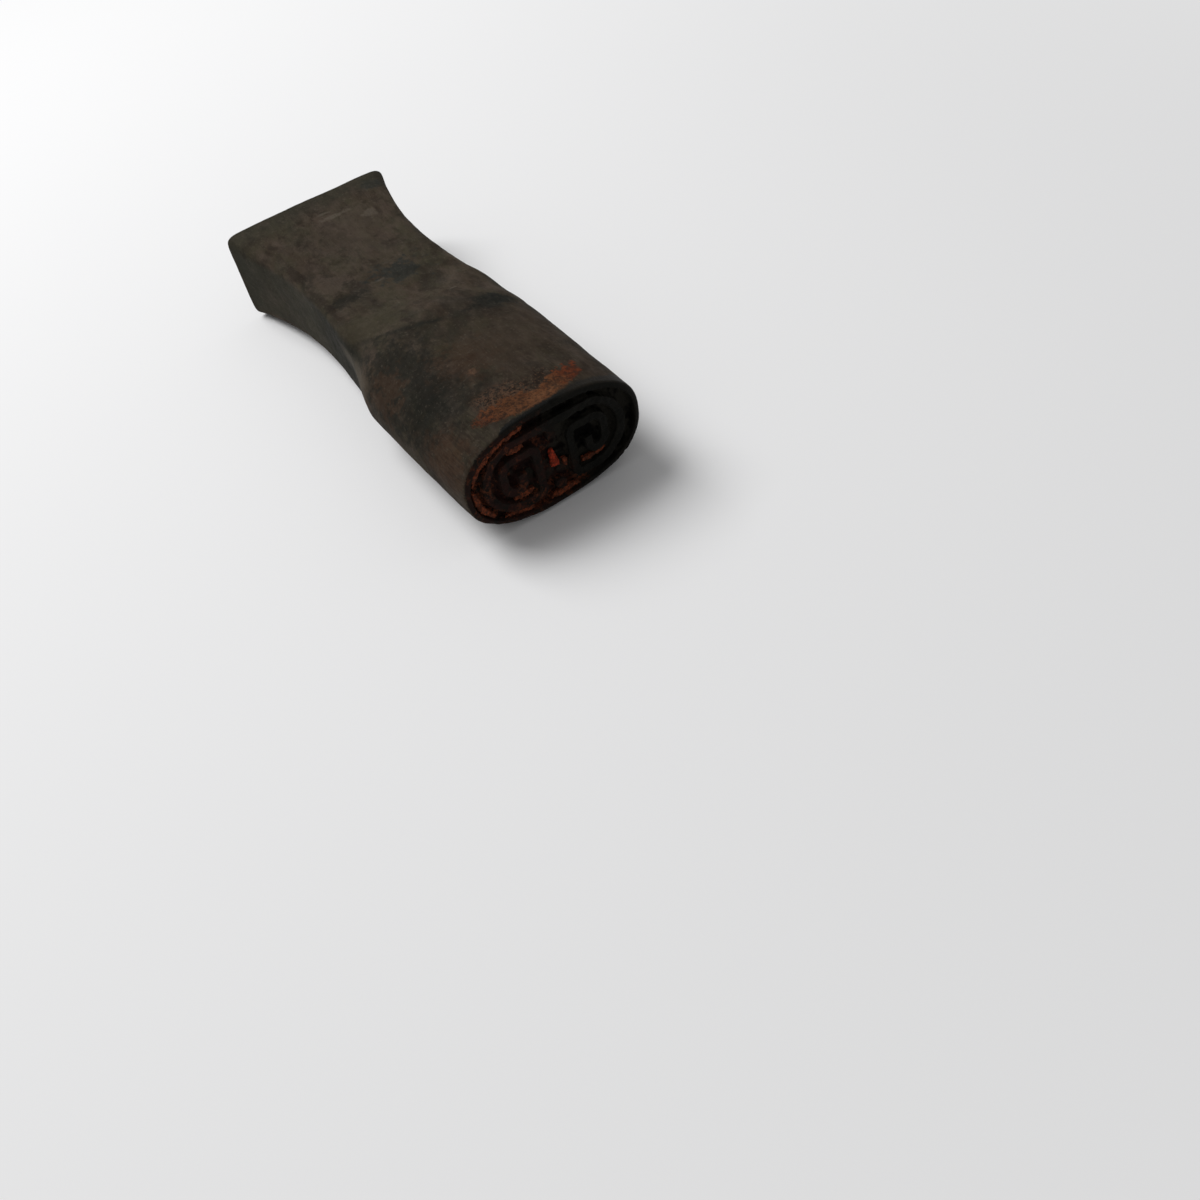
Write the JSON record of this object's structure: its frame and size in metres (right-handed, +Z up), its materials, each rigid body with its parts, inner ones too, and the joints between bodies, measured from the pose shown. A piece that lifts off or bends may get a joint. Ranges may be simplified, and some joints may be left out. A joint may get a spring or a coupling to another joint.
{
  "type": "seal stamp",
  "caption": "Hand-carved hardwood seal stamp: an oval body with a relief fret die in its face and a flat waisted grip that flares to a rectangular butt.",
  "frame": {"origin": "on the resting surface, under the middle of the seal's length and width", "axes": "+Y along the seal from the die to the butt, +Z up out of the resting surface, X across the seal; the die faces -Y"},
  "size_m": [0.0378, 0.0972, 0.0217],
  "materials": {
    "patinated_hardwood": "hand-worn, oiled and nearly black, dull sheen, ink-stained round the die",
    "dried_seal_paste": "dry, crumbly, matte vermilion"
  },
  "bodies": {
    "root": {"seal_block": "patinated_hardwood", "paste_border_upper_left": "dried_seal_paste", "paste_border_left": "dried_seal_paste", "paste_border_lower_left": "dried_seal_paste", "paste_border_bottom": "dried_seal_paste", "paste_upper_left_chip": "dried_seal_paste", "paste_lower_left_chip": "dried_seal_paste", "paste_centre_wedge": "dried_seal_paste", "paste_centre_chip": "dried_seal_paste", "paste_lower_right_streak": "dried_seal_paste"}
  },
  "joints": []
}
